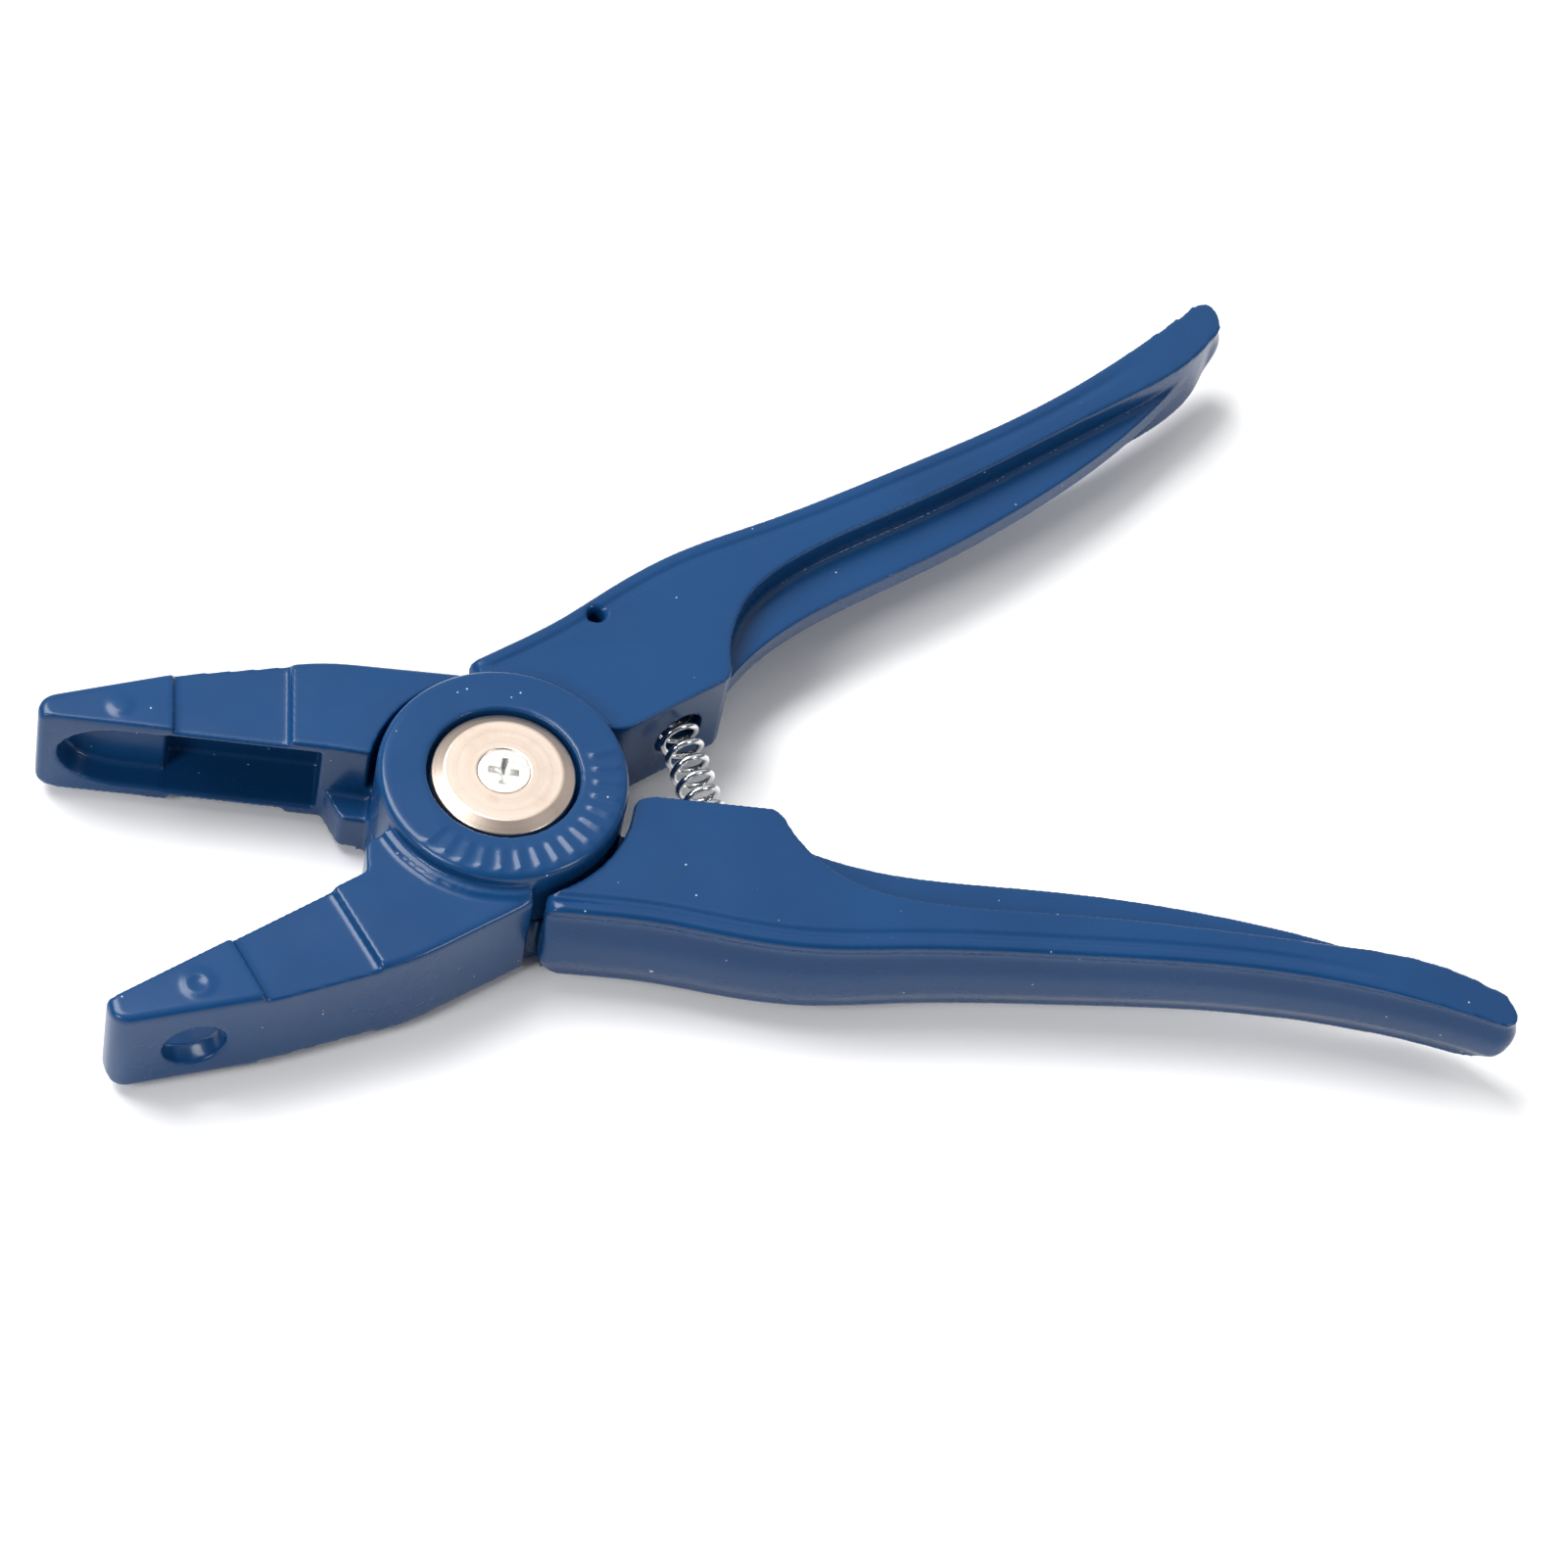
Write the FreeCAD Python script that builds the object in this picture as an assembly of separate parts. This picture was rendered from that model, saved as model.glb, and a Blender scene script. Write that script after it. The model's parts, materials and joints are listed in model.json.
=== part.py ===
"""Ear-tag applicator pliers: two cast levers crossing on a flanged pivot barrel, held open by a coil spring.

Millimetres. The pivot axis is Z and the origin is the centre of the pivot's lower face, which the tool
lies on. +X runs from the pivot towards the handles, midway between them when the tool is open, and +Y
towards the handle of the socket lever. The tool is drawn open, as its spring holds it.
"""
import FreeCAD, Part
import math
import os

V = FreeCAD.Vector

# Heights. Jaws and handles are symmetric about the mid plane, where the two half hubs meet.
MID = 12.2
BODY_T = 20.4           # thickness of jaws and handles
LOW = MID - BODY_T / 2
HIGH = MID + BODY_T / 2
HUB_LOW = 0.25
HUB_HIGH = 26.1
HUB_GAP = 0.3           # between the two half hubs, filled by the thrust washer
FLANGE_FACE = 0.0       # the lower flange stands out of its hub by a little, and so does the cap
CAP_FACE = 26.45

# Hub
HUB_R = 20.8
HUB_EDGE_R = 1.4        # rounding of the disc's edge
COLLAR_R = 22.4         # low collar round the disc's foot
COLLAR_RISE = 0.8
SWING_R = 22.0          # radius of the hollows that the other lever's disc turns in
SWING_FIT = 0.6         # the lower hub's hollow is closer to it
RECESS_R = 12.7
RECESS_DEPTH = 3.5
BUSH_R = 6.5
BARREL_R = 5.0
RUN_FIT = 0.05          # radial clearance of the running fits

# Pivot cap and the barrel's flange
CAP_R = 11.9
CAP_T = 2.9
CAP_CHAMFER = (2.1, 1.15)   # radial, axial
DISC_SPRING = (5.3, 10.5, 0.5)   # inner radius, outer radius, thickness
WASHER_R = (5.2, 18.8)
SCREW_R = 2.5
HEAD_R = 4.35
SCREW_LENGTH = 16.0
SCREW_SUNK = 0.12
CROSS_WIDTH, CROSS_SPAN, CROSS_DEPTH = 1.15, 5.2, 2.0
CROSS_TURN = -21.5

# Jaw, drawn on the side of positive Y
JAW_ROOT = (-25.8, 12.6)
JAW_INNER_TIP = (-70.7, 28.0)
JAW_OUTER = [   # x, y and corner radius, from the tip round to the heel
    (-70.7, 28.0, 0), (-70.7, 32.1, 3.4), (-46.0, 32.4, 40), (-22.0, 30.0, 40), (-0.6, 23.1, 0),
]
SOCKET_FACE_FORWARD = 0.7   # the socket jaw is this much thicker towards the gap than the peg jaw
SOCKET_REACH = 1.6          # and this much longer
PAD_STEP = 1.1              # the jaw's middle is this much thinner on each side
PAD_LINES = [((-51.2, 16.0), (-46.9, 34.0)), ((-33.0, 10.0), (-26.9, 34.0))]
PAD_EDGE_R = 1.1
NOSE_LOW_R = 3.0            # rounding of the tip's lower end, seen from the side
NOSE_HIGH_R = 1.6

# Pockets in the jaws' inner faces, measured along the face from JAW_INNER_TIP towards the pivot
POCKET_END = 46.3
POCKET_STEP = 20.7
POCKET_NOSE = 14.0
POCKET_TIP = 3.2
POCKET_HALF_HEIGHT = 7.6
POCKET_DEEP_HALF_HEIGHT = 7.9
POCKET_DEPTH = 4.6
POCKET_DEEP_DEPTH = 9.0
PIN_HOLE_X = -58.5
PIN_HOLE_R = 5.2
PIN_WALL_Y = 28.2           # inner side of the wall that the pin hole goes through

# Lobes beside the hubs, one on each lever, which pass over each other
LOBE = [(-26.0, 12.6), (-24.6, 6.6), (-19.0, 4.6), (-15.0, 12.0)]
STOP_TOP = 10.0         # the peg lever's lobe is lower, and stops against the socket jaw as the jaws close

# Handle, drawn on the side of positive Y
HANDLE_FRONT = 1.0
BACK_LINE = [
    (1.0, 24.3), (9.5, 27.0), (18.0, 30.0), (27.0, 34.1), (35.0, 37.6), (43.0, 40.3),
    (58.0, 43.5), (84.0, 50.0), (111.0, 57.9), (132.0, 66.6), (150.6, 77.5),
]
WEB_START = 5               # the web runs along the back from this point of its line on
TIP_ARCS = [(150.6, 77.5), (153.8, 76.9), (154.3, 74.2), (153.6, 71.9), (151.4, 69.9)]
TIP_CENTRE = (149.5, 73.8)
RECESS_LINE = [
    (44.6, 16.6), (46.0, 21.2), (51.8, 29.6), (61.0, 35.2), (84.0, 42.6), (113.0, 52.3),
    (128.0, 57.7), (142.0, 63.3), (151.4, 69.9),
]
ROOT_FACE = [(24.0, 6.9), (42.8, 13.2)]
ROOT_HEEL = (44.1, 14.6)    # on the round corner between the root's face and the hollow side
ROOT_NOSE = (21.2, 7.4)     # on the round corner between the root's face and its tip
ROOT_CORNER = (19.5, 9.6)
ROOT_ARC = (27, 78)         # where the hollow round the hub starts and ends, in degrees
WEB_LINE = [
    (44.9, 16.5), (50.0, 20.6), (58.0, 25.2), (70.0, 29.8), (86.0, 34.8), (112.0, 45.0),
    (130.0, 54.4), (142.0, 62.6), (151.0, 69.9),
]
WEB_HIGH, WEB_EDGE_LOW, WEB_LOW = 16.9, 12.7, 9.5
WEB_DRAFT = 2.0
UNDERSIDE = (2.0, 5.6)      # height of the handle's underside at the hub and at its tip
TOP_LINE = [(122.0, 22.4), (134.0, 22.05), (146.0, 21.2), (155.4, 20.2)]   # x, z where the top dips
TIP_X = 155.4
TIP_FACE = [(156.0, 19.0), (151.6, 9.6), (150.3, 7.2), (147.0, 5.95)]   # x, z down the leaning end
TIP_LEAN = 2.8              # the underside's outer edge lies this much further in at the tip
LEAN_START = 40.0
MOST_INSET = 2.0
FRONT_TOP_R = 2.6           # roundings of the handle's front end, seen from the side
FRONT_LOW_R = (6.5, 7.0)
BACK_BULGE = 1.9            # the rounded back stands out by this much at half height
BACK_STATIONS = [   # share of the height, share of the bulge
    (0.0, -1.3), (0.12, 0.4), (0.3, 0.9), (0.46, 1.0), (0.62, 0.8), (0.76, 0.25), (0.86, 0.1), (0.93, 0.4),
    (0.98, 0.35), (1.0, 0.1),
]
BACK_DEPTH = 4.0
FLAT_INSET = 3.0
GROOVE = (1.3, 2.9, 0.45)   # from and to this far inside the back's edge, and deep

# Return spring, along Y between blind seats in the two handle roots
SPRING_X = 34.8
SPRING_R = 3.7
WIRE_R = 0.55
SPRING_TURNS = 12.75
SEAT_R = 4.4
SEAT_Y = 18.5

# Hang hole through the socket lever's handle root
HANG_XY = (24.9, 30.6)
HANG_R = 1.5
HANG_SINK = 0.45

# Raised marks: an arc of bars on the disc, a ring on the socket jaw and a pip on the peg jaw
MARK_RISE = 0.3
MARK_ROOT = 0.2         # how far the marks reach into the casting
BAR_COUNT = 16
BAR_FROM, BAR_TO = -146.0, 2.0
BAR_SIZE = (4.2, 0.9)
BAR_R = 17.1
MARK_XY = (-57.4, 27.4)
RING_MARK_R = (2.3, 1.4)
PIP_R = 1.7


def at(point, z):
    return V(point[0], point[1], z)


def curve(points, z):
    """A smooth edge through plan points at height z."""
    spline = Part.BSplineCurve()
    spline.interpolate([at(p, z) for p in points])
    return spline.toShape()


def line(a, b, z):
    return Part.makeLine(at(a, z), at(b, z))


def offset(points, distance):
    """Plan points moved sideways, to the left of their direction, by one distance or one for each."""
    steps = distance if isinstance(distance, list) else [distance] * len(points)
    moved = []
    for i, (p, step) in enumerate(zip(points, steps)):
        a, b = points[max(i - 1, 0)], points[min(i + 1, len(points) - 1)]
        length = math.hypot(b[0] - a[0], b[1] - a[1])
        moved.append((p[0] - (b[1] - a[1]) / length * step, p[1] + (b[0] - a[0]) / length * step))
    return moved


def corners_curve(corners, z):
    """Straight edges through (x, y, radius) corners, joined by tangent arcs of those radii."""
    edges, last = [], at(corners[0], z)
    for before, corner, after in zip(corners, corners[1:], corners[2:]):
        p = at(corner, z)
        back, ahead = (at(before, z) - p).normalize(), (at(after, z) - p).normalize()
        half = back.getAngle(ahead) / 2
        reach = corner[2] / math.tan(half)
        start, end = p + back * reach, p + ahead * reach
        middle = p + (back + ahead).normalize() * (corner[2] / math.sin(half) - corner[2])
        edges += [Part.makeLine(last, start), Part.Arc(start, middle, end).toShape()]
        last = end
    return edges + [Part.makeLine(last, at(corners[-1], z))]


def prism(edges, low, high):
    """The closed outline that the edges make at height low, raised to height high."""
    wire = Part.Wire(Part.__sortEdges__(edges))
    return Part.Face(wire).extrude(V(0, 0, high - low))


def polygon(points, low, high):
    return prism([line(points[i - 1], points[i], low) for i in range(len(points))], low, high)


def cylinder(radius, low, high, centre=(0.0, 0.0)):
    return Part.makeCylinder(radius, high - low, at(centre, low))


def ring(outer, inner, low, high):
    return cylinder(outer, low, high).cut(cylinder(inner, low - 1, high + 1))


def revolve(profile):
    """A solid turned about the pivot axis from a list of (radius, z)."""
    points = [V(r, 0, z) for r, z in profile]
    wire = Part.makePolygon(points + points[:1])
    return Part.Face(wire).revolve(V(0, 0, 0), V(0, 0, 1), 360)


def mirrored(shape, side):
    """The shape as drawn, or its mirror image across the plane Y = 0."""
    return shape if side > 0 else shape.mirror(V(0, 0, 0), V(0, 1, 0))


def rounded(shape, radius, wanted):
    """The shape with the edges that wanted() picks rounded off."""
    edges = [e for e in shape.Edges if wanted(e)]
    return shape.makeFillet(radius, edges)


def along_jaw(s, depth, z=0.0):
    """A point on the jaw's inner face, s from its tip end, sunk by depth into the jaw."""
    dx, dy = JAW_ROOT[0] - JAW_INNER_TIP[0], JAW_ROOT[1] - JAW_INNER_TIP[1]
    length = math.hypot(dx, dy)
    ux, uy = dx / length, dy / length
    return V(JAW_INNER_TIP[0] + ux * s - uy * depth, JAW_INNER_TIP[1] + uy * s + ux * depth, z)


def jaw_blank(forward, reach):
    """The jaw's plain solid, with rounded pad edges and its thinner middle."""
    root, tip = (JAW_ROOT[0], JAW_ROOT[1] - forward), (JAW_INNER_TIP[0] - reach, JAW_INNER_TIP[1] - forward)
    back = [JAW_OUTER[-1], (-0.6, HUB_R - 2), (-12.0, 6.0), (-19.0, 9.9), root, tip]
    corner = (JAW_OUTER[1][0] - reach, JAW_OUTER[1][1], JAW_OUTER[1][2])
    edges = corners_curve([(tip[0], tip[1], 0), corner] + JAW_OUTER[2:], LOW)
    edges += [line(back[i], back[i + 1], LOW) for i in range(len(back) - 1)]
    jaw = prism(edges, LOW, HIGH)
    jaw = rounded(jaw, PAD_EDGE_R, lambda e: is_rim(e, (LOW, HIGH)) and e.CenterOfMass.y > 25)
    (a, b), (c, d) = PAD_LINES
    for low, high in ((HIGH - PAD_STEP, HIGH + 1), (LOW - 1, LOW + PAD_STEP)):
        jaw = jaw.cut(polygon([a, b, d, c], low, high))
    return jaw.common(nose_envelope(tip[0]))


def nose_envelope(tip_x):
    """The jaw seen from the side, with its tip's lower and upper ends rounded, as a block along Y."""
    block = Part.makeBox(-tip_x + 5, 40, HIGH - LOW, V(tip_x, 0, LOW))
    for height, radius in ((LOW, NOSE_LOW_R), (HIGH, NOSE_HIGH_R)):
        block = rounded(block, radius, lambda e: is_rim(e, (height,)) and e.CenterOfMass.x < tip_x + 1e-4)
    return block


def is_rim(edge, heights):
    box = edge.BoundBox
    return any(abs(box.ZMin - z) < 1e-4 and abs(box.ZMax - z) < 1e-4 for z in heights)


def jaw_pocket(floor_y=None):
    """The hollow in a jaw's inner face: a shallow end with a round nose, and a deeper part behind it.

    With floor_y the shallow end's floor lies along X at that height, instead of along the face.
    """
    deep = slab(POCKET_STEP, POCKET_END, POCKET_DEEP_HALF_HEIGHT, POCKET_DEEP_DEPTH)
    body = slab(POCKET_NOSE, POCKET_STEP + 0.5, POCKET_HALF_HEIGHT, POCKET_DEPTH)
    face = Part.Ellipse(V(0, 0, 0), POCKET_NOSE - POCKET_TIP, POCKET_HALF_HEIGHT).toShape()
    nose = Part.Face(Part.Wire([face])).extrude(V(0, 0, POCKET_DEPTH + 1.0))
    turn = math.degrees(math.atan2(JAW_ROOT[1] - JAW_INNER_TIP[1], JAW_ROOT[0] - JAW_INNER_TIP[0]))
    nose.rotate(V(0, 0, 0), V(1, 0, 0), -90)
    nose.rotate(V(0, 0, 0), V(0, 0, 1), turn)
    nose.translate(along_jaw(POCKET_NOSE, -1.0, MID))
    if floor_y is not None:
        far = Part.makeBox(40, 40, BODY_T, V(-80, floor_y, LOW))
        reach = slab(POCKET_NOSE, POCKET_STEP + 0.5, POCKET_HALF_HEIGHT, 12.0).fuse(nose)
        return reach.cut(far).fuse(deep)
    return deep.fuse([body, nose])


def slab(s0, s1, half_height, depth):
    """A box along the jaw's inner face, from just outside the face to the depth."""
    corners = [along_jaw(s0, -1.0), along_jaw(s1, -1.0), along_jaw(s1, depth), along_jaw(s0, depth)]
    return polygon([(c.x, c.y) for c in corners], MID - half_height, MID + half_height)


def polar(radius, degrees):
    turn = math.radians(degrees)
    return (radius * math.cos(turn), radius * math.sin(turn))


def handle_flat(low, high):
    """The handle root and the flat inner part of the handle, reaching under its rounded back."""
    start, end = ROOT_ARC
    back = offset(BACK_LINE, -FLAT_INSET)
    edges = [
        curve(back, low),
        line(back[-1], RECESS_LINE[-1], low),
        curve(RECESS_LINE, low),
        Part.Arc(at(RECESS_LINE[0], low), at(ROOT_HEEL, low), at(ROOT_FACE[1], low)).toShape(),
        line(ROOT_FACE[1], ROOT_FACE[0], low),
        Part.Arc(at(ROOT_FACE[0], low), at(ROOT_NOSE, low), at(ROOT_CORNER, low)).toShape(),
        line(ROOT_CORNER, polar(SWING_R, start), low),
        Part.Arc(*[at(polar(SWING_R, a), low) for a in (start, (start + end) / 2, end)]).toShape(),
        line(polar(SWING_R, end), back[0], low),
    ]
    return prism(edges, low, high)


def station_height(x, share):
    """A height between the sloping underside and the flat top, at a share of the way up."""
    under = UNDERSIDE[0] + (UNDERSIDE[1] - UNDERSIDE[0]) * x / TIP_X
    return under + (HIGH - under) * share


def outward(point, centre, distance):
    dx, dy = point[0] - centre[0], point[1] - centre[1]
    length = math.hypot(dx, dy)
    return (point[0] + dx / length * distance, point[1] + dy / length * distance)


def handle_back():
    """The rounded outer side of the handle and its tip, as one skin over outlines at rising heights."""
    inner = offset(BACK_LINE, -BACK_DEPTH)[:-1]
    wires = []
    for share, bulge in BACK_STATIONS:
        leans = [TIP_LEAN * max(0.0, x - LEAN_START) / (TIP_X - LEAN_START) for x, _ in BACK_LINE]
        outs = [max(bulge * BACK_BULGE - lean * (1 - share), -MOST_INSET) for lean in leans]
        back = offset(BACK_LINE, outs)
        tip = [back[-1]] + [outward(p, TIP_CENTRE, outs[-1]) for p in TIP_ARCS[1:4]] + [TIP_ARCS[4]]
        lift = [[V(x, y, station_height(x, share)) for x, y in points] for points in (back, tip, inner)]
        splines = []
        for points in (lift[0], lift[2]):
            spline = Part.BSplineCurve()
            spline.interpolate(points)
            splines.append(spline.toShape())
        edges = [splines[0]]
        edges += [Part.Arc(*lift[1][i:i + 3]).toShape() for i in (0, 2)]
        edges += [Part.makeLine(lift[1][-1], lift[2][-1]), splines[1], Part.makeLine(lift[2][0], lift[0][0])]
        wires.append(Part.Wire(Part.__sortEdges__(edges)))
    return Part.makeLoft(wires, True, False)


def handle_web():
    """The web that fills the handle's hollow inner side, with a crisp upper edge and a drafted lower one."""
    back = offset(BACK_LINE[WEB_START:], -2.5)
    inset = offset(WEB_LINE, WEB_DRAFT)

    def outline(front, z):
        edges = [curve(front, z), line(front[-1], back[-1], z), curve(back, z), line(back[0], front[0], z)]
        return Part.Wire(Part.__sortEdges__(edges))

    web = Part.Face(outline(WEB_LINE, WEB_EDGE_LOW)).extrude(V(0, 0, WEB_HIGH - WEB_EDGE_LOW))
    draft = Part.makeLoft([outline(inset, WEB_LOW), outline(WEB_LINE, WEB_EDGE_LOW)], True, True)
    return web.fuse(draft)


def handle_groove(low, high):
    """A shallow groove that sets the rounded back off from the handle's flat."""
    near, far, _ = GROOVE
    outer, inner = offset(BACK_LINE, -near), offset(BACK_LINE, -far)
    ends = [line(outer[i], inner[i], low) for i in (0, -1)]
    return prism([curve(outer, low), curve(inner, low)] + ends, low, high)


def side_envelope():
    """The handle seen from the side: level on top, rising below, with rounded ends, as a block along Y."""
    def p(x, z):
        return V(x, 0, z)

    front, low, top_r = HANDLE_FRONT, UNDERSIDE[0], FRONT_TOP_R
    low_r, low_rise = FRONT_LOW_R
    dip = Part.BSplineCurve()
    dip.interpolate([p(x, z) for x, z in TOP_LINE])
    shoulder, foot, bend, heel = [p(x, z) for x, z in TIP_FACE]
    edges = [
        Part.makeLine(p(front, low + low_rise), p(front, HIGH - top_r)),
        Part.Arc(p(front, HIGH - top_r), p(front + top_r * 0.29, HIGH - top_r * 0.29),
                 p(front + top_r, HIGH)).toShape(),
        Part.makeLine(p(front + top_r, HIGH), p(*TOP_LINE[0])),
        dip.toShape(),
        Part.makeLine(p(*TOP_LINE[-1]), shoulder),
        Part.makeLine(shoulder, foot),
        Part.Arc(foot, bend, heel).toShape(),
        Part.makeLine(heel, p(front + low_r, low)),
        Part.Arc(p(front + low_r, low), p(front + low_r * 0.29, low + low_rise * 0.29),
                 p(front, low + low_rise)).toShape(),
    ]
    face = Part.Face(Part.Wire(Part.__sortEdges__(edges)))
    return face.extrude(V(0, 120, 0))


def handle():
    whole = handle_flat(LOW, HIGH).fuse([handle_back(), handle_web()])
    depth = GROOVE[2]
    whole = whole.cut(handle_groove(HIGH - depth, HIGH + 1)).cut(handle_groove(LOW - 1, LOW + depth))
    whole = whole.common(side_envelope())
    seat = Part.makeCylinder(SEAT_R, SEAT_Y, V(SPRING_X, 0, MID), V(0, 1, 0))
    return whole.cut(seat)


def hub_disc(low, high, top):
    """A half hub: a disc with a rounded outer edge."""
    disc = cylinder(HUB_R, low, high)
    outer = high if top else low
    return rounded(disc, HUB_EDGE_R, lambda e: is_rim(e, (outer,)) and e.Length > 100)


def lobe(low, high, side):
    return mirrored(polygon(LOBE, low, high), side)


def root_plate(side, low, high):
    """Where the handle runs into its own lever's hub."""
    outline = [polar(HUB_R * 0.8, 86), (2.4, 23.6), (24.0, 20.0), (24.0, 8.2), polar(HUB_R * 0.8, 22)]
    return mirrored(polygon(outline, low, high), side)


def lever(handle_side, hub_on_top):
    """One casting: jaw on one side of X, handle on the other, and a half hub between them."""
    jaw_side = -handle_side
    floor_y, forward, reach = None, 0.0, 0.0
    if hub_on_top:
        floor_y, forward, reach = PIN_WALL_Y, SOCKET_FACE_FORWARD, SOCKET_REACH
    jaw = jaw_blank(forward, reach).cut(jaw_pocket(floor_y))
    split_low, split_high = MID - HUB_GAP / 2, MID + HUB_GAP / 2
    if hub_on_top:
        own, other = (split_high, HUB_HIGH), (LOW - 5, split_high)
    else:
        own, other = (HUB_LOW, split_low), (split_low, HIGH + 5)
    parts = [mirrored(jaw, jaw_side), mirrored(handle(), handle_side)]
    own_slice = (split_high, HIGH) if hub_on_top else (LOW, split_low)
    parts.append(root_plate(handle_side, *own_slice))
    parts.append(lobe(own_slice[0], own_slice[1] if hub_on_top else STOP_TOP, jaw_side))
    swing = cylinder(HUB_R + SWING_FIT if hub_on_top else SWING_R, *other)
    parts = [p.cut(swing) for p in parts]
    collar = cylinder(COLLAR_R, LOW - COLLAR_RISE, HIGH + COLLAR_RISE)
    parts.append(root_skin(jaw_side, handle_side, hub_on_top).common(collar))
    body = hub_disc(own[0], own[1], hub_on_top).fuse(parts)
    body = body.cut(cylinder(BUSH_R, own[0] - 1, own[1] + 1))
    recess = (HUB_HIGH - RECESS_DEPTH, HUB_HIGH + 1) if hub_on_top else (HUB_LOW - 1, HUB_LOW + RECESS_DEPTH)
    return body.cut(cylinder(RECESS_R, *recess))


def root_skin(jaw_side, handle_side, hub_on_top):
    """A slice over the lever's own jaw and handle root, where the collar round the disc stands."""
    low, high = (HIGH - 0.2, HIGH + COLLAR_RISE) if hub_on_top else (LOW - COLLAR_RISE, LOW + 0.2)
    jaw = [(-26.2, 12.0), (-24.6, 6.6), (-18.5, 4.4), (-0.6, 18.0), (-0.6, 24.0), (-20.0, 28.0)]
    root = [(3.0, 24.0), (24.0, 27.0), (24.0, 8.6), (18.0, 6.6), (3.0, 17.0)]
    sides = ((jaw, jaw_side), (root, handle_side))
    first, second = [mirrored(polygon(outline, low, high), side) for outline, side in sides]
    return first.fuse(second)


def arc_bars():
    """Raised bars set radially along an arc of the socket lever's disc."""
    bars = []
    length, width = BAR_SIZE
    corner = V(BAR_R - length / 2, -width / 2, HUB_HIGH - MARK_ROOT)
    for i in range(BAR_COUNT):
        turn = BAR_FROM + (BAR_TO - BAR_FROM) * i / (BAR_COUNT - 1)
        bar = Part.makeBox(length, width, MARK_RISE + MARK_ROOT, corner)
        bar.rotate(V(0, 0, 0), V(0, 0, 1), turn)
        bars.append(bar)
    return bars


def socket_lever():
    """The lever with the pin hole in its jaw; its half hub is the upper one and its handle the +Y one."""
    body = lever(1, True)
    hole = Part.makeCylinder(PIN_HOLE_R, 20, V(PIN_HOLE_X, -PIN_WALL_Y + 1, MID - 1.0), V(0, -1, 0))
    body = body.cut(hole)
    body = body.cut(cylinder(HANG_R, LOW - 1, HIGH + 2, HANG_XY))
    sink = Part.makeCone(HANG_R, HANG_R + HANG_SINK, HANG_SINK, at(HANG_XY, HIGH - HANG_SINK))
    body = body.cut(sink.fuse(cylinder(HANG_R + HANG_SINK, HIGH, HIGH + 2, HANG_XY)))
    centre, (outer, inner) = (MARK_XY[0], -MARK_XY[1]), RING_MARK_R
    mark = cylinder(outer, HIGH - MARK_ROOT, HIGH + MARK_RISE, centre)
    mark = mark.cut(cylinder(inner, HIGH - 1, HIGH + 1, centre))
    return body.fuse(arc_bars() + [mark])


def peg_lever():
    """The lever with the long pocket; its half hub is the lower one and its handle the -Y one."""
    body = lever(-1, False)
    return body.fuse(cylinder(PIP_R, HIGH - MARK_ROOT, HIGH + MARK_RISE, MARK_XY))


def flange_profile(outer_z, inner_z):
    """The turned profile that the cap and the barrel's flange share, from the axis out."""
    sign = 1 if outer_z > inner_z else -1
    radial, axial = CAP_CHAMFER
    rim = [(CAP_R, inner_z), (CAP_R, outer_z - sign * axial), (CAP_R - radial, outer_z)]
    return [(0, inner_z)] + rim + [(0, outer_z)]


def pivot_cap():
    top, under = CAP_FACE, CAP_FACE - CAP_T
    cap = revolve(flange_profile(top, under))
    depth = HEAD_R - SCREW_R
    seat = top - SCREW_SUNK - depth
    cone = Part.makeCone(SCREW_R + 0.05, HEAD_R + 0.05, depth, V(0, 0, seat))
    cone = cone.fuse(cylinder(HEAD_R + 0.05, seat + depth, top + 1))
    return cap.cut(cone).cut(cylinder(SCREW_R + 0.05, under - 1, seat + 0.01))


def pivot_barrel():
    """The barrel that both levers turn on, in one piece with the lower flange."""
    top = CAP_FACE - CAP_T
    flange = revolve(flange_profile(FLANGE_FACE, FLANGE_FACE + CAP_T))
    barrel = cylinder(BARREL_R, FLANGE_FACE + CAP_T - 0.5, top)
    bore = cylinder(SCREW_R + 0.02, top - SCREW_LENGTH + CAP_T - 1.5, top + 1)
    return flange.fuse(barrel).cut(bore)


def cap_screw():
    """A countersunk screw with a cross recess."""
    top = CAP_FACE - SCREW_SUNK
    depth = HEAD_R - SCREW_R
    head = Part.makeCone(SCREW_R, HEAD_R, depth, V(0, 0, top - depth))
    screw = head.fuse(cylinder(SCREW_R, top - SCREW_LENGTH, top - depth))
    screw = screw.fuse(Part.makeCone(SCREW_R - 0.7, SCREW_R, 0.7, V(0, 0, top - SCREW_LENGTH - 0.7)))
    corner = V(-CROSS_SPAN / 2, -CROSS_WIDTH / 2, top - CROSS_DEPTH)
    slot = Part.makeBox(CROSS_SPAN, CROSS_WIDTH, CROSS_DEPTH + 1, corner)
    point = Part.makeCone(0.5, CROSS_SPAN / 2, CROSS_DEPTH, V(0, 0, top - CROSS_DEPTH))
    driver = point.fuse(cylinder(CROSS_SPAN / 2, top, top + 1))
    cross = slot.fuse(slot.rotated(V(0, 0, 0), V(0, 0, 1), 90)).common(driver)
    return screw.cut(cross.rotated(V(0, 0, 0), V(0, 0, 1), CROSS_TURN))


def cone_washer(low, high):
    """A disc spring that takes up the play between a hub's recess and the flange beside it."""
    inner, outer, thick = DISC_SPRING
    return revolve([(inner, low), (outer, high - thick), (outer, high), (inner, low + thick)])


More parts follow.
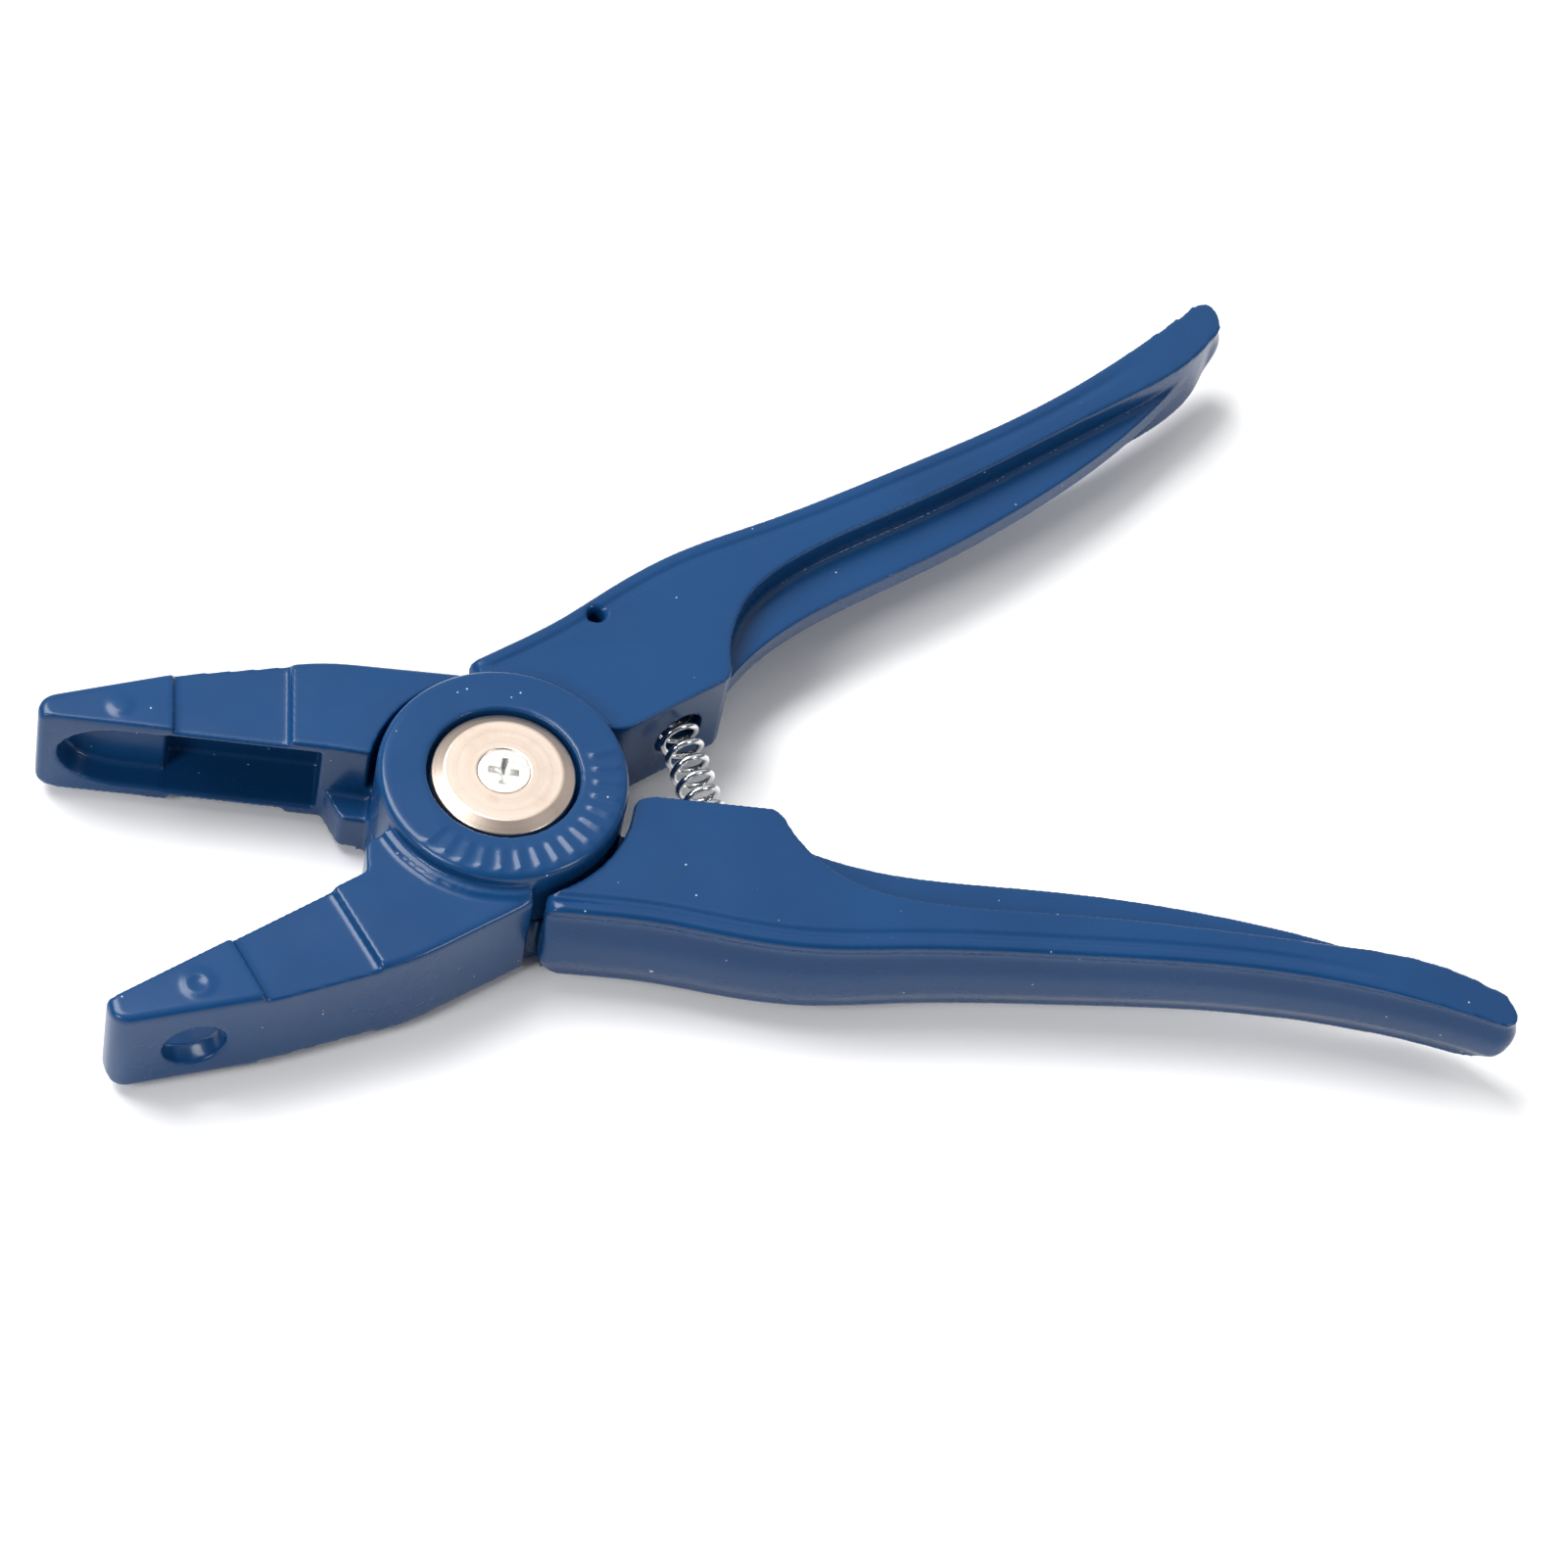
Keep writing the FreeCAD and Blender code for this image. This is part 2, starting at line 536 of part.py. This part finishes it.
def handle_spring():
    """The return spring: a helix of round wire about an axis along Y."""
    length = 2 * SEAT_Y - 2 * WIRE_R - 0.1
    radius = SPRING_R - WIRE_R
    helix = Part.makeHelix(length / SPRING_TURNS, length, radius)
    path = Part.Wire(helix.Edges)
    slope = length / SPRING_TURNS / (2 * math.pi * radius)
    section = Part.Wire([Part.makeCircle(WIRE_R, V(radius, 0, 0), V(0, 1, slope))])
    spring = path.makePipeShell([section], True, True)
    spring.rotate(V(0, 0, 0), V(1, 0, 0), 90)
    spring.translate(V(SPRING_X, length / 2, MID))
    return spring


def main():
    split_low, split_high = MID - HUB_GAP / 2, MID + HUB_GAP / 2
    floor_high, floor_low = HUB_HIGH - RECESS_DEPTH, HUB_LOW + RECESS_DEPTH
    sub_parts = {
        "socket_lever": socket_lever(),
        "peg_lever": peg_lever(),
        "socket_bush": ring(BUSH_R, BARREL_R + RUN_FIT, split_high, floor_high),
        "peg_bush": ring(BUSH_R, BARREL_R + RUN_FIT, floor_low, split_low),
        "thrust_washer": ring(WASHER_R[1], WASHER_R[0], split_low + 0.02, split_high - 0.02),
        "upper_disc_spring": cone_washer(floor_high + 0.01, CAP_FACE - CAP_T - 0.01),
        "lower_disc_spring": cone_washer(FLANGE_FACE + CAP_T + 0.01, floor_low - 0.01),
        "pivot_barrel": pivot_barrel(),
        "pivot_cap": pivot_cap(),
        "cap_screw": cap_screw(),
        "handle_spring": handle_spring(),
    }
    os.makedirs("parts", exist_ok=True)
    for node, shape in sub_parts.items():
        shape = shape.removeSplitter() if node.endswith("lever") else shape
        box = shape.BoundBox
        print(node, "valid", shape.isValid(), "solids", len(shape.Solids), "volume", round(shape.Volume, 1),
              "box", [round(v, 2) for v in (box.XMin, box.YMin, box.ZMin, box.XMax, box.YMax, box.ZMax)])
        shape.exportStep(f"parts/{node}.step")


main()
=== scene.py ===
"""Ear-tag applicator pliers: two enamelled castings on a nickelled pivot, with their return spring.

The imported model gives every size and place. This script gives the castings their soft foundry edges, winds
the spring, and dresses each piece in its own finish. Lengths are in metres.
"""

import json
import logging
import math
from dataclasses import dataclass, field
from enum import Enum
from typing import Iterable, Sequence, Union

import bmesh
import bpy
from mathutils import Matrix, Vector

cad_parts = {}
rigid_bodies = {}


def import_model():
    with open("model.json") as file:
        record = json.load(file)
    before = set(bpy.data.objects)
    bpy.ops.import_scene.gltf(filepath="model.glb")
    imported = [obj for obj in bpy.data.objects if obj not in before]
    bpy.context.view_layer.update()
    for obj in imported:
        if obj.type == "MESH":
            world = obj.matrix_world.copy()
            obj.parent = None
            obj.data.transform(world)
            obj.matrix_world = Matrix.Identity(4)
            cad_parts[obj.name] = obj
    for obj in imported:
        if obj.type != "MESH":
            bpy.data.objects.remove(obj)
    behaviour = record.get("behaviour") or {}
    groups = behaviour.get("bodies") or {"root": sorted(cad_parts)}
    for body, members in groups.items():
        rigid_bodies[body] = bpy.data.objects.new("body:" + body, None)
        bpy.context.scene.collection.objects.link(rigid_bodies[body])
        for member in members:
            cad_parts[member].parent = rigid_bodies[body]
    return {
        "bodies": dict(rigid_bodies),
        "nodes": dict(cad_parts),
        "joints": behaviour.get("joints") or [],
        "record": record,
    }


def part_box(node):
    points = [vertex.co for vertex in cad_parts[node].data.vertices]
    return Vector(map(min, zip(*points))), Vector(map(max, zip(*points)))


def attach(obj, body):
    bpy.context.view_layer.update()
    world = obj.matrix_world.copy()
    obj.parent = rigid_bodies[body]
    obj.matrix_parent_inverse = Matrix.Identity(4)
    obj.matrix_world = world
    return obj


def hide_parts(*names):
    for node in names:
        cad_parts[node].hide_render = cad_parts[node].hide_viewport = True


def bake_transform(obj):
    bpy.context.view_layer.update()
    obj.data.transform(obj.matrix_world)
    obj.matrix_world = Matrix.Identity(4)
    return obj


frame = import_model()
log = logging.getLogger("tag_pliers")

MM = 0.001
SHARE_STEP = 0.001      # how sharply places with a grain are told from those without
GRAIN_CORE = 0.35       # the share of a grain's radius that is solid
Colour = tuple[float, float, float]
Plug = Union[float, Sequence[float], "Field"]


class Body(Enum):
    """The rigid bodies that pieces ride on."""

    SOCKET_SIDE = "socket_side"
    PEG_SIDE = "peg_side"


class Slot(Enum):
    """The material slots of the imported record."""

    BLUE_PAINT = "blue_paint"
    NICKEL_PLATE = "nickel_plate"
    ZINC_PLATE = "zinc_plate"
    PLAIN_STEEL = "plain_steel"
    BEARING_BRONZE = "bearing_bronze"


class Field:
    """A node's output socket with arithmetic, so that a finish reads as a formula."""

    def __init__(self, graph: "Graph", socket: bpy.types.NodeSocket | None) -> None:
        """Wraps a socket.

        Args:
            graph: The graph that new nodes go into.
            socket: The output to wrap, or None after a node that has none.
        """
        self.graph = graph
        self.socket = socket

    def _math(self, operation: str, *operands: Plug) -> "Field":
        """Adds one Math node.

        Args:
            operation: The Math node's operation.
            operands: Its inputs in order.

        Returns:
            The node's result.
        """
        return self.graph.add("ShaderNodeMath", {"operation": operation}, dict(enumerate(operands)))

    def __add__(self, other: Plug) -> "Field":
        """Adds a value."""
        return self._math("ADD", self, other)

    def __radd__(self, other: Plug) -> "Field":
        """Adds to a value."""
        return self._math("ADD", other, self)

    def __mul__(self, other: Plug) -> "Field":
        """Multiplies by a value."""
        return self._math("MULTIPLY", self, other)

    def __rmul__(self, other: Plug) -> "Field":
        """Multiplies a value."""
        return self._math("MULTIPLY", other, self)

    def between(self, low: float, high: float) -> "Field":
        """Ramps smoothly from 0 at low to 1 at high, whichever of the two is larger.

        Args:
            low: Where the ramp is 0.
            high: Where the ramp is 1.

        Returns:
            The ramp's value.
        """
        settings = {"interpolation_type": "SMOOTHSTEP"}
        if low < high:
            return self.graph.add("ShaderNodeMapRange", settings, {0: self, 1: low, 2: high, 3: 0.0, 4: 1.0})
        return self.graph.add("ShaderNodeMapRange", settings, {0: self, 1: high, 2: low, 3: 1.0, 4: 0.0})


class Graph:
    """A node tree under construction."""

    def __init__(self, tree: bpy.types.NodeTree) -> None:
        """Empties the tree.

        Args:
            tree: A material's or world's node tree.
        """
        self.tree = tree
        tree.nodes.clear()

    def add(
        self, kind: str, settings: dict | None = None, values: dict | None = None, output: str | int = 0
    ) -> Field:
        """Adds a node.

        Args:
            kind: The node's type.
            settings: Its properties, set before its sockets.
            values: Its input sockets, by name or number: a plain value or a Field.
            output: The output to return, by name or number.

        Returns:
            The chosen output.
        """
        node = self.tree.nodes.new(kind)
        for name, setting in (settings or {}).items():
            setattr(node, name, setting)
        for key, value in (values or {}).items():
            socket = node.inputs[key]
            if isinstance(value, Field):
                self.tree.links.new(value.socket, socket)
            elif socket.type == "RGBA" and len(value) == 3:
                socket.default_value = (*value, 1.0)
            else:
                socket.default_value = value
        return Field(self, node.outputs[output] if node.outputs else None)

    def mix(self, factor: Plug, first: Plug, second: Plug) -> Field:
        """Mixes two colours.

        Args:
            factor: 0 for the first, 1 for the second.
            first: A colour.
            second: A colour.

        Returns:
            The mixed colour.
        """
        return self.add("ShaderNodeMix", {"data_type": "RGBA"}, {0: factor, 6: first, 7: second}, 2)

    def place(self) -> Field:
        """The point on the piece, in metres in the tool's own frame."""
        return self.add("ShaderNodeTexCoord", output="Object")

    def noise(
        self, size: float, detail: float = 2.0, roughness: float = 0.5, at: Field | None = None
    ) -> Field:
        """Cloudy noise about 0.5.

        Args:
            size: The length of its features in metres.
            detail: Octaves.
            roughness: How strong the finer octaves are.
            at: Where to look it up, or None for the point on the piece.

        Returns:
            The noise.
        """
        values = {"Vector": at or self.place(), "Scale": 1 / size, "Detail": detail, "Roughness": roughness}
        return self.add("ShaderNodeTexNoise", None, values)

    def specks(self, spacing: float, radius: float, share: float) -> Field:
        """Small round grains scattered through the piece.

        Args:
            spacing: The mean distance between the places where one may be.
            radius: A grain's radius.
            share: The share of the places that hold one.

        Returns:
            1 in a grain and 0 around it, with a soft edge.
        """
        values = {"Vector": self.place(), "Scale": 1 / spacing}
        cells = self.add("ShaderNodeTexVoronoi", {"feature": "F1"}, values, "Distance")
        tint = Field(self, cells.socket.node.outputs["Color"])
        chosen = self.add("ShaderNodeSeparateColor", None, {0: tint}).between(share + SHARE_STEP, share)
        return cells.between(radius / spacing, GRAIN_CORE * radius / spacing) * chosen

    def bump(self, height: Field, depth: float, under: Field | None = None) -> Field:
        """Turns a height from 0 to 1 into a surface normal.

        Args:
            height: The relief.
            depth: The height in metres that 1 stands for.
            under: The normal that the relief lies on.

        Returns:
            The normal.
        """
        values = {"Height": height, "Distance": depth, "Strength": 1.0}
        if under is not None:
            values["Normal"] = under
        return self.add("ShaderNodeBump", None, values)

    def surface(self, values: dict) -> None:
        """Adds the shader and the output.

        Args:
            values: The shader's sockets.
        """
        shader = self.add("ShaderNodeBsdfPrincipled", None, values)
        self.add("ShaderNodeOutputMaterial", None, {"Surface": shader})


def new_graph(name: str) -> tuple[bpy.types.Material, Graph]:
    """Makes an empty material.

    Args:
        name: Its name.

    Returns:
        The material and its graph.
    """
    material = bpy.data.materials.new(name)
    material.use_nodes = True
    return material, Graph(material.node_tree)


@dataclass(frozen=True)
class BlueEnamel:
    """Thick glossy enamel over a casting, with orange peel, settled dust, small chips, painted shade in its
    hollows and a painted highlight along its edges.
    """

    name: str = "deep_blue_enamel"
    colour: Colour = (0.0045, 0.045, 0.140)
    # thick: the darker tone of thick enamel in the clouds, also the colour of the painted shade in hollows
    # and creases
    thick: Colour = (0.0028, 0.032, 0.106)
    # thin: the lighter blue of the painted highlight along convex edges
    thin: Colour = (0.012, 0.068, 0.190)
    dust: Colour = (0.55, 0.62, 0.68)
    cloud_size: float = 26 * MM
    gloss_size: float = 9 * MM
    dust_spacing: float = 1.7 * MM
    dust_radius: float = 0.21 * MM
    chip_spacing: float = 9.0 * MM
    chip_radius: float = 0.42 * MM
    nib_height: float = 0.03 * MM
    peel_size: float = 2.4 * MM
    peel_depth: float = 0.012 * MM
    ripple_size: float = 13.0 * MM
    ripple_depth: float = 0.07 * MM

    def material(self) -> bpy.types.Material:
        """Builds the finish.

        Returns:
            The material.
        """
        material, g = new_graph(self.name)
        clouds = g.noise(self.cloud_size, 3.0)
        pointed = g.add("ShaderNodeNewGeometry", output="Pointiness")
        # Convex edges: the mask for the painted edge highlight.
        edge = pointed.between(0.53, 0.62)
        # Concave places: the mask for painted shade in hollows and creases.
        crease_shade = pointed.between(0.485, 0.42)
        dust = g.specks(self.dust_spacing, self.dust_radius, 0.05)
        chips = g.specks(self.chip_spacing, self.chip_radius, 0.05)
        colour = g.mix(clouds.between(0.3, 0.7) * 0.5, self.colour, self.thick)
        # Painted shade: a darker blue laid into hollows and creases.
        colour = g.mix(crease_shade * 0.6, colour, self.thick)
        # Painted highlight: a lighter blue laid along the convex edges.
        colour = g.mix(edge * 0.35, colour, self.thin)
        colour = g.mix((dust + chips) * 0.85, colour, self.dust)
        ripple = g.bump(g.noise(self.ripple_size, 1.0), self.ripple_depth)
        peel = g.bump(g.noise(self.peel_size, 2.0, 0.45), self.peel_depth, ripple)
        nibs = g.bump(dust, self.nib_height, peel)
        g.surface({
            "Base Color": colour,
            "Roughness": 0.20 + 0.12 * g.noise(self.gloss_size, 3.0),
            "Normal": nibs,
            "IOR": 1.32,
            "Coat Weight": 0.15,
            "Coat Roughness": 0.05,
            "Coat IOR": 1.35,
        })
        return material


@dataclass(frozen=True)
class TurnedNickel:
    """Nickel plate over a turned face: fine rings about the pivot axis, and a warm cast."""

    name: str = "turned_nickel"
    colour: Colour = (0.72, 0.60, 0.51)
    tarnish: Colour = (0.45, 0.34, 0.27)
    ring_pitch: float = 0.42 * MM
    ring_depth: float = 0.012 * MM
    stain_size: float = 5 * MM

    def material(self) -> bpy.types.Material:
        """Builds the finish.

        Returns:
            The material.
        """
        material, g = new_graph(self.name)
        flat = g.add("ShaderNodeVectorMath", {"operation": "MULTIPLY"}, {0: g.place(), 1: (1.0, 1.0, 0.0)})
        radius = g.add("ShaderNodeVectorMath", {"operation": "LENGTH"}, {0: flat}, "Value")
        spread = g.add("ShaderNodeCombineXYZ", None, {"X": radius})
        rings = g.noise(self.ring_pitch, 3.0, 0.7, spread)
        bands = g.noise(6 * self.ring_pitch, 2.0, 0.6, spread)
        stain = g.noise(self.stain_size, 4.0, 0.6)
        colour = g.mix(stain.between(0.45, 0.75) * 0.4, self.colour, self.tarnish)
        colour = g.mix(rings.between(0.52, 0.68) * 0.35, colour, self.tarnish)
        g.surface({
            "Base Color": colour,
            "Metallic": 1.0,
            "Roughness": 0.20 + 0.16 * bands + 0.10 * stain,
            "Normal": g.bump(rings, self.ring_depth),
        })
        return material


@dataclass(frozen=True)
class BrightPlate:
    """Zinc or plain steel: a bright metal with faint cloudy passivation and fine scratches."""

    name: str
    colour: Colour
    shade: Colour
    roughness: float
    cloud_size: float = 1.8 * MM
    grain: float = 0.5 * MM
    relief: float = 0.003 * MM

    def material(self) -> bpy.types.Material:
        """Builds the finish.

        Returns:
            The material.
        """
        material, g = new_graph(self.name)
        clouds = g.noise(self.cloud_size, 3.0, 0.6)
        grain = g.noise(self.grain, 3.0, 0.65)
        g.surface({
            "Base Color": g.mix(clouds.between(0.35, 0.7), self.colour, self.shade),
            "Metallic": 1.0,
            "Roughness": self.roughness + 0.12 * clouds,
            "Normal": g.bump(grain, self.relief),
        })
        return material


ENAMEL = BlueEnamel()
NICKEL = TurnedNickel()
ZINC = BrightPlate("bright_zinc", (0.88, 0.88, 0.85), (0.72, 0.72, 0.71), 0.24)
SPRING_WIRE = BrightPlate("plated_spring_wire", (0.80, 0.80, 0.79), (0.60, 0.61, 0.62), 0.10)
STEEL = BrightPlate("plain_washer_steel", (0.42, 0.42, 0.43), (0.28, 0.28, 0.29), 0.30)
BRONZE = BrightPlate("oiled_bearing_bronze", (0.48, 0.31, 0.14), (0.30, 0.19, 0.09), 0.34)


def dress(piece: bpy.types.Object, material: bpy.types.Material) -> None:
    """Gives the whole piece one material.

    Args:
        piece: A mesh object.
        material: The finish.
    """
    piece.data.materials.clear()
    piece.data.materials.append(material)


def link_mesh(name: str, mesh: bpy.types.Mesh) -> bpy.types.Object:
    """Puts a mesh into the scene.

    Args:
        name: The piece's name.
        mesh: Its mesh.

    Returns:
        The new object.
    """
    piece = bpy.data.objects.new(name, mesh)
    bpy.context.scene.collection.objects.link(piece)
    return piece


@dataclass
class Softening:
    """How a piece's machined outline is turned into a real surface.

    It is cut into cubes of size voxel, smoothed in several passes, and thinned to the share of faces to keep.
    """

    voxel: float
    passes: int
    keep: float
    weld: float = 0.001 * MM

    def apply(self, source: bpy.types.Object, name: str) -> bpy.types.Object:
        """Copies a CAD node and rounds every edge of the copy a little.

        Args:
            source: The CAD node's object.
            name: The new piece's name.

        Returns:
            The new piece.
        """
        work = link_mesh(name + "_blank", source.data.copy())
        weld = work.modifiers.new("weld", "WELD")
        weld.merge_threshold = self.weld
        grid = work.modifiers.new("grid", "REMESH")
        grid.mode = "VOXEL"
        grid.voxel_size = self.voxel
        soften = work.modifiers.new("soften", "SMOOTH")
        soften.factor = 0.5
        soften.iterations = self.passes
        thin = work.modifiers.new("thin", "DECIMATE")
        thin.ratio = self.keep
        bpy.context.view_layer.update()
        evaluated = work.evaluated_get(bpy.context.evaluated_depsgraph_get())
        mesh = bpy.data.meshes.new_from_object(evaluated)
        mesh.name = name
        bpy.data.objects.remove(work)
        mesh.shade_smooth()
        return link_mesh(name, mesh)


@dataclass
class Lever:
    """One enamelled casting: jaw, half hub and handle."""

    node: str
    body: Body
    frame: dict
    softening: Softening = field(default_factory=lambda: Softening(0.40 * MM, 9, 0.35))

    def build(self, material: bpy.types.Material) -> list[bpy.types.Object]:
        """Builds the casting.

        Args:
            material: The enamel.

        Returns:
            The new pieces.
        """
        casting = self.softening.apply(self.frame["nodes"][self.node], self.node + "_casting")
        dress(casting, material)
        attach(casting, self.body.value)
        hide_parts(self.node)
        return [casting]


@dataclass
class Pivot:
    """The cap, its screw, the barrel and what is stacked on it."""

    frame: dict
    cap: Softening = field(default_factory=lambda: Softening(0.14 * MM, 2, 0.4))
    screw: Softening = field(default_factory=lambda: Softening(0.055 * MM, 1, 0.3))

    def build(self, finishes: dict[Slot, bpy.types.Material]) -> list[bpy.types.Object]:
        """Softens what is seen and dresses the rest.

        Args:
            finishes: The material of each slot.

        Returns:
            The new pieces.
        """
        pieces = []
        for node, softening, slot in (
            ("pivot_cap", self.cap, Slot.NICKEL_PLATE),
            ("cap_screw", self.screw, Slot.ZINC_PLATE),
        ):
            piece = softening.apply(self.frame["nodes"][node], node + "_turned")
            dress(piece, finishes[slot])
            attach(piece, Body.SOCKET_SIDE.value)
            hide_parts(node)
            pieces.append(piece)
        for node, slot in (
            ("pivot_barrel", Slot.NICKEL_PLATE),
            ("socket_bush", Slot.BEARING_BRONZE),
            ("peg_bush", Slot.BEARING_BRONZE),
            ("thrust_washer", Slot.PLAIN_STEEL),
            ("upper_disc_spring", Slot.PLAIN_STEEL),
            ("lower_disc_spring", Slot.PLAIN_STEEL),
        ):
            dress(self.frame["nodes"][node], finishes[slot])
        return pieces


@dataclass
class ReturnSpring:
    """The coil spring between the handle roots."""

    turns: float = 12.75
    outer_radius: float = 3.7 * MM
    wire: float = 1.12 * MM
    end_turns: float = 1.2
    end_pitch: float = 1.02     # of the closed end coils, in wire diameters
    seated: float = 6 * MM      # the stretch at each end that sits in its handle's seat
    steps: int = 36
    sides: int = 12

    def build(self, material: bpy.types.Material) -> bpy.types.Object:
        """Winds the spring inside the space of its CAD node.

        Args:
            material: The wire's finish.

        Returns:
            The new piece.
        """
        low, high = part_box("handle_spring")
        centre = (low + high) / 2
        radius = self.outer_radius - self.wire / 2
        reach = (high.y - low.y - self.wire) / 2
        bm = bmesh.new()
        count = int(self.turns * self.steps)
        path = [self._centreline(i / count, centre, radius, reach) for i in range(count + 1)]
        rings = []
        for i, point in enumerate(path):
            ahead = (path[min(i + 1, count)] - path[max(i - 1, 0)]).normalized()
            outward = Vector((point.x - centre.x, 0.0, point.z - centre.z)).normalized()
            outward = (outward - ahead * outward.dot(ahead)).normalized()
            side = ahead.cross(outward)
            thick = self.wire / 2
            ring = []
            for k in range(self.sides):
                turn = 2 * math.pi * k / self.sides
                around = outward * thick * math.cos(turn) + side * thick * math.sin(turn)
                ring.append(bm.verts.new(point + around))
            rings.append(ring)
        for first, second in zip(rings, rings[1:]):
            for k in range(self.sides):
                bm.faces.new((first[k], first[k - 1], second[k - 1], second[k]))
        bm.faces.new(rings[0])
        bm.faces.new(list(reversed(rings[-1])))
        bmesh.ops.recalc_face_normals(bm, faces=bm.faces)
        mesh = bpy.data.meshes.new("return_spring")
        bm.to_mesh(mesh)
        bm.free()
        mesh.shade_smooth()
        piece = link_mesh("return_spring", mesh)
        dress(piece, material)
        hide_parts("handle_spring")
        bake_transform(piece)
        return piece

    def _centreline(self, t: float, centre: Vector, radius: float, reach: float) -> Vector:
        """A point on the wire's axis, with the coils closed up at both ends.

        Args:
            t: From 0 at the socket lever's seat to 1 at the peg lever's.
            centre: The middle of the spring.
            radius: The coil's mean radius.
            reach: Half the distance between the ends of the wire's axis.

        Returns:
            The point.
        """
        turn = t * self.turns
        closed = self.wire * self.end_pitch
        open_turns = self.turns - 2 * self.end_turns
        pitch = (2 * reach - 2 * self.end_turns * closed) / open_turns
        if turn < self.end_turns:
            along = turn * closed
        elif turn > self.turns - self.end_turns:
            along = 2 * reach - (self.turns - turn) * closed
        else:
            along = self.end_turns * closed + (turn - self.end_turns) * pitch
        angle = 2 * math.pi * turn
        x, z = radius * math.cos(angle), radius * math.sin(angle)
        return Vector((centre.x + x, centre.y + reach - along, centre.z + z))


@dataclass(frozen=True)
class Softbox:
    """A square softbox, placed by its direction from the tool in degrees: round from +X, and up."""

    name: str
    azimuth: float
    elevation: float
    size: float
    power: float
    reach: float = 1.6

    def hang(self, aim: Vector) -> None:
        """Hangs the box so that it faces a point.

        Args:
            aim: The point.
        """
        data = bpy.data.lights.new(self.name, "AREA")
        data.energy = self.power
        data.size = self.size
        light = bpy.data.objects.new(self.name, data)
        bpy.context.scene.collection.objects.link(light)
        a, e = math.radians(self.azimuth), math.radians(self.elevation)
        away = Vector((math.cos(e) * math.cos(a), math.cos(e) * math.sin(a), math.sin(e)))
        light.location = away * self.reach + aim
        light.rotation_euler = away.to_track_quat("Z", "Y").to_euler()


SOFTBOXES = (
    Softbox("overhead_box", 130, 60, 0.9, 30.0),
    Softbox("left_box", 200, 38, 0.45, 11.0),
    Softbox("right_box", -50, 30, 0.35, 6.0),
)


@dataclass
class Studio:
    """The floor, the lights and the viewpoint."""

    view_azimuth: float = 61.3
    view_elevation: float = 54.4
    roll: float = 14.4
    distance: float = 0.9033
    aim: tuple[float, float, float] = (49.6 * MM, -2.6 * MM, 12.2 * MM)
    lens: float = 123.7
    floor_drop: float = 0.02 * MM
    floor_reach: float = 4.0
    bright_side: tuple[float, float, float] = (0.285, 0.514, 0.809)
    dim_air: Colour = (0.13, 0.13, 0.135)
    bright_air: Colour = (0.80, 0.80, 0.80)

    def camera(self) -> None:
        """Sets the camera up."""
        azimuth, elevation = math.radians(self.view_azimuth), math.radians(self.view_elevation)
        flat = math.cos(elevation)
        forward = Vector((flat * math.cos(azimuth), flat * math.sin(azimuth), -math.sin(elevation)))
        right = forward.cross(Vector((0, 0, 1))).normalized()
        up = right.cross(forward)
        turn = math.radians(self.roll)
        tilted = right * math.cos(turn) + up * math.sin(turn)
        up = tilted.cross(forward)
        data = bpy.data.cameras.new("bench_camera")
        data.lens = self.lens
        data.sensor_width = 36.0
        data.clip_start = 0.05
        data.clip_end = 50.0
        camera = bpy.data.objects.new("bench_camera", data)
        bpy.context.scene.collection.objects.link(camera)
        axes = Matrix((tilted, up, -forward)).transposed().to_4x4()
        camera.matrix_world = Matrix.Translation(Vector(self.aim) - forward * self.distance) @ axes
        bpy.context.scene.camera = camera

    def floor(self) -> None:
        """Lays the floor."""
        bm = bmesh.new()
        bmesh.ops.create_grid(bm, x_segments=2, y_segments=2, size=self.floor_reach)
        mesh = bpy.data.meshes.new("pale_floor")
        bm.to_mesh(mesh)
        bm.free()
        floor = link_mesh("pale_floor", mesh)
        floor.location.z = -self.floor_drop
        material, g = new_graph("pale_card")
        g.surface({"Base Color": (0.90, 0.90, 0.90), "Roughness": 0.85, "Specular IOR Level": 0.1})
        dress(floor, material)

    def build(self) -> None:
        """Sets up the whole studio."""
        self.camera()
        self.floor()
        for box in SOFTBOXES:
            box.hang(Vector(self.aim))
        world = bpy.data.worlds.new("studio_air")
        bpy.context.scene.world = world
        world.use_nodes = True
        g = Graph(world.node_tree)
        away = g.add("ShaderNodeTexCoord", output="Generated")
        pair = {0: away, 1: self.bright_side}
        toward = g.add("ShaderNodeVectorMath", {"operation": "DOT_PRODUCT"}, pair, "Value")
        sky = g.mix(toward.between(0.35, 0.98), self.dim_air, self.bright_air)
        air = g.add("ShaderNodeBackground", None, {"Color": sky, "Strength": 1.0})
        g.add("ShaderNodeOutputWorld", None, {"Surface": air})
        bpy.context.scene.view_settings.view_transform = "Standard"


def main() -> None:
    """Builds and dresses the pliers and the studio."""
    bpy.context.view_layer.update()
    finishes = {
        Slot.BLUE_PAINT: ENAMEL.material(),
        Slot.NICKEL_PLATE: NICKEL.material(),
        Slot.ZINC_PLATE: ZINC.material(),
        Slot.PLAIN_STEEL: STEEL.material(),
        Slot.BEARING_BRONZE: BRONZE.material(),
    }
    Studio().build()
    pieces = Lever("socket_lever", Body.SOCKET_SIDE, frame).build(finishes[Slot.BLUE_PAINT])
    pieces += Lever("peg_lever", Body.PEG_SIDE, frame).build(finishes[Slot.BLUE_PAINT])
    pieces += Pivot(frame).build(finishes)
    pieces.append(ReturnSpring().build(SPRING_WIRE.material()))
    for piece in pieces:
        log.info("%s: %d faces", piece.name, len(piece.data.polygons))


if __name__ == "__main__":
    logging.basicConfig(level=logging.INFO, format="%(name)s %(message)s")
    main()
